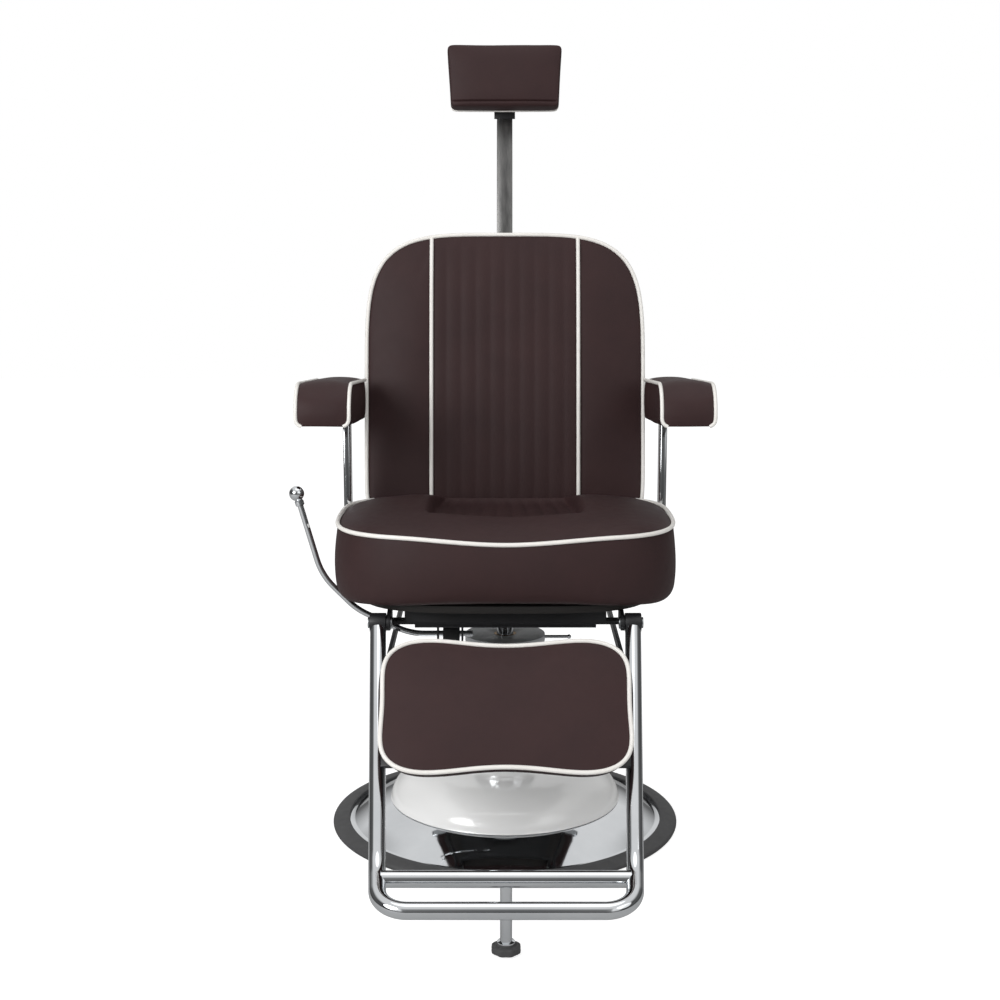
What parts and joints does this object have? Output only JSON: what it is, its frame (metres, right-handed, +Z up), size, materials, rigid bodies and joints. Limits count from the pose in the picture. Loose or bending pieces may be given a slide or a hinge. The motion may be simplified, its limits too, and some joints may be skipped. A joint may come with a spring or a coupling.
{
  "type": "hydraulic barber chair",
  "caption": "Barber chair on a round hydraulic base, with a swivelling seat, linked reclining back and footrest, arms and sliding headrest.",
  "frame": {"origin": "on the floor under the ram, at the centre of the base plate's flat underside", "axes": "+Z up along the ram, -Y towards the footrest, +X to the sitter's left"},
  "size_m": [0.7092, 1.0647, 1.3962],
  "materials": {
    "cast_iron_black": "black enamel on cast iron",
    "rubber_black": "matt black rubber",
    "chrome": "polished chrome plate",
    "white_cover": "white glossy moulded cover",
    "zinc_steel": "zinc-plated steel",
    "cast_aluminium": "satin cast aluminium",
    "bronze": "turned bronze",
    "black_steel": "black powder coat on steel",
    "brushed_steel": "brushed flat steel bar",
    "plywood": "birch plywood stained black",
    "leather_brown": "dark brown upholstery leather with a fine grain",
    "black_plastic": "black moulded plastic"
  },
  "bodies": {
    "base": {"base_plate": "cast_iron_black", "base_ring": "rubber_black", "base_dish": "chrome", "dome_cover": "white_cover", "pump_foot": "cast_iron_black", "pump_bolts": "zinc_steel", "reservoir_tube": "black_steel", "cylinder_tube": "zinc_steel", "column_sleeve": "chrome", "pump_head": "cast_aluminium", "gland_bush": "bronze", "base_pins": "zinc_steel", "pedal_bracket": "black_steel"},
    "lock": {"lock_lever": "chrome"},
    "pedal": {"pedal_arm": "black_steel", "pedal_pad": "rubber_black"},
    "plunger": {"pump_plunger": "brushed_steel"},
    "lift": {"ram": "chrome", "ram_piston": "zinc_steel", "piston_seal": "rubber_black", "thrust_washer": "bronze"},
    "seat": {"swivel_hub": "black_steel", "frame_plate": "black_steel", "frame_rails": "black_steel", "frame_front_bar": "black_steel", "frame_rear_bar": "black_steel", "recline_ears": "black_steel", "seat_board": "plywood", "seat_cushion": "leather_brown", "arm_uprights": "chrome", "arm_plates": "black_steel", "arm_pad_left": "leather_brown", "arm_pad_right": "leather_brown", "pivot_pins": "zinc_steel"},
    "lever": {"lever_rod": "chrome", "lever_ball": "chrome", "lock_block": "black_plastic"},
    "back": {"back_brackets": "black_steel", "back_board": "plywood", "back_shell": "leather_brown", "back_cushion": "leather_brown", "headrest_socket": "cast_aluminium"},
    "clamp": {"clamp_screw": "zinc_steel", "clamp_knob": "black_plastic"},
    "post": {"headrest_post": "brushed_steel", "headrest_fork": "black_steel"},
    "headrest": {"headrest_knuckle": "black_steel", "headrest_pad": "leather_brown"},
    "footrest": {"leg_tube_left": "chrome", "leg_tube_right": "chrome", "leg_hinges": "black_steel", "leg_front_bar": "chrome", "leg_crossbar": "chrome", "leg_strips": "black_steel", "leg_board": "plywood", "leg_pad": "leather_brown", "stabiliser_rod": "chrome", "stabiliser_foot": "rubber_black"},
    "link_l": {"link_left": "black_steel"},
    "link_r": {"link_right": "black_steel"}
  },
  "joints": [
    {"name": "ram_lift", "type": "slide", "parent": "base", "child": "lift", "axis": [0, 0, 1], "range_m": [0, 0.15]},
    {"name": "swivel", "type": "hinge", "parent": "lift", "child": "seat", "pos_m": [0, 0, 0.39], "axis": [0, 0, 1], "continuous": true},
    {"name": "recline", "type": "hinge", "parent": "seat", "child": "back", "pos_m": [0, 0.205, 0.428], "axis": [1, 0, 0], "range_deg": [-45, 0]},
    {"name": "footrest_lift", "type": "hinge", "parent": "seat", "child": "footrest", "pos_m": [0, -0.25, 0.428], "axis": [1, 0, 0], "range_deg": [-45, 0]},
    {"name": "link_left_pivot", "type": "hinge", "parent": "back", "child": "link_l", "pos_m": [-0.193, 0.205, 0.358], "axis": [1, 0, 0], "range_deg": [0, 45]},
    {"name": "link_right_pivot", "type": "hinge", "parent": "back", "child": "link_r", "pos_m": [0.193, 0.205, 0.358], "axis": [1, 0, 0], "range_deg": [0, 45]},
    {"name": "recline_lever", "type": "hinge", "parent": "seat", "child": "lever", "pos_m": [-0.1, -0.15, 0.384], "axis": [1, 0, 0], "range_deg": [-15, 0], "stiffness_Nm_per_rad": 4, "springref_deg": 17.19},
    {"name": "headrest_slide", "type": "slide", "parent": "back", "child": "post", "axis": [0, 0.1908, 0.9816], "range_m": [-0.17, 0.02]},
    {"name": "headrest_tilt", "type": "hinge", "parent": "post", "child": "headrest", "pos_m": [0, 0.40229, 1.29774], "axis": [1, 0, 0], "range_deg": [-15, 15]},
    {"name": "clamp_turn", "type": "hinge", "parent": "back", "child": "clamp", "pos_m": [0, 0.37199, 0.95319], "axis": [0, 0.9816, -0.1908], "range_deg": [0, 180]},
    {"name": "pedal_press", "type": "hinge", "parent": "base", "child": "pedal", "pos_m": [0, 0.078, 0.086], "axis": [1, 0, 0], "range_deg": [-12, 0], "stiffness_Nm_per_rad": 12, "springref_deg": 17.19},
    {"name": "plunger_stroke", "type": "slide", "parent": "base", "child": "plunger", "axis": [0, 0, 1], "range_m": [-0.0056, 0]},
    {"name": "lock_turn", "type": "hinge", "parent": "base", "child": "lock", "pos_m": [0.054, 0, 0.3395], "axis": [0, 0, 1], "range_deg": [-20, 0]}
  ],
  "couplings": [
    {"joint": "footrest_lift", "follows": "recline", "ratio": 1},
    {"joint": "link_left_pivot", "follows": "recline", "ratio": -1},
    {"joint": "link_right_pivot", "follows": "recline", "ratio": -1},
    {"joint": "plunger_stroke", "follows": "pedal_press", "m_per_rad": 0.025}
  ]
}
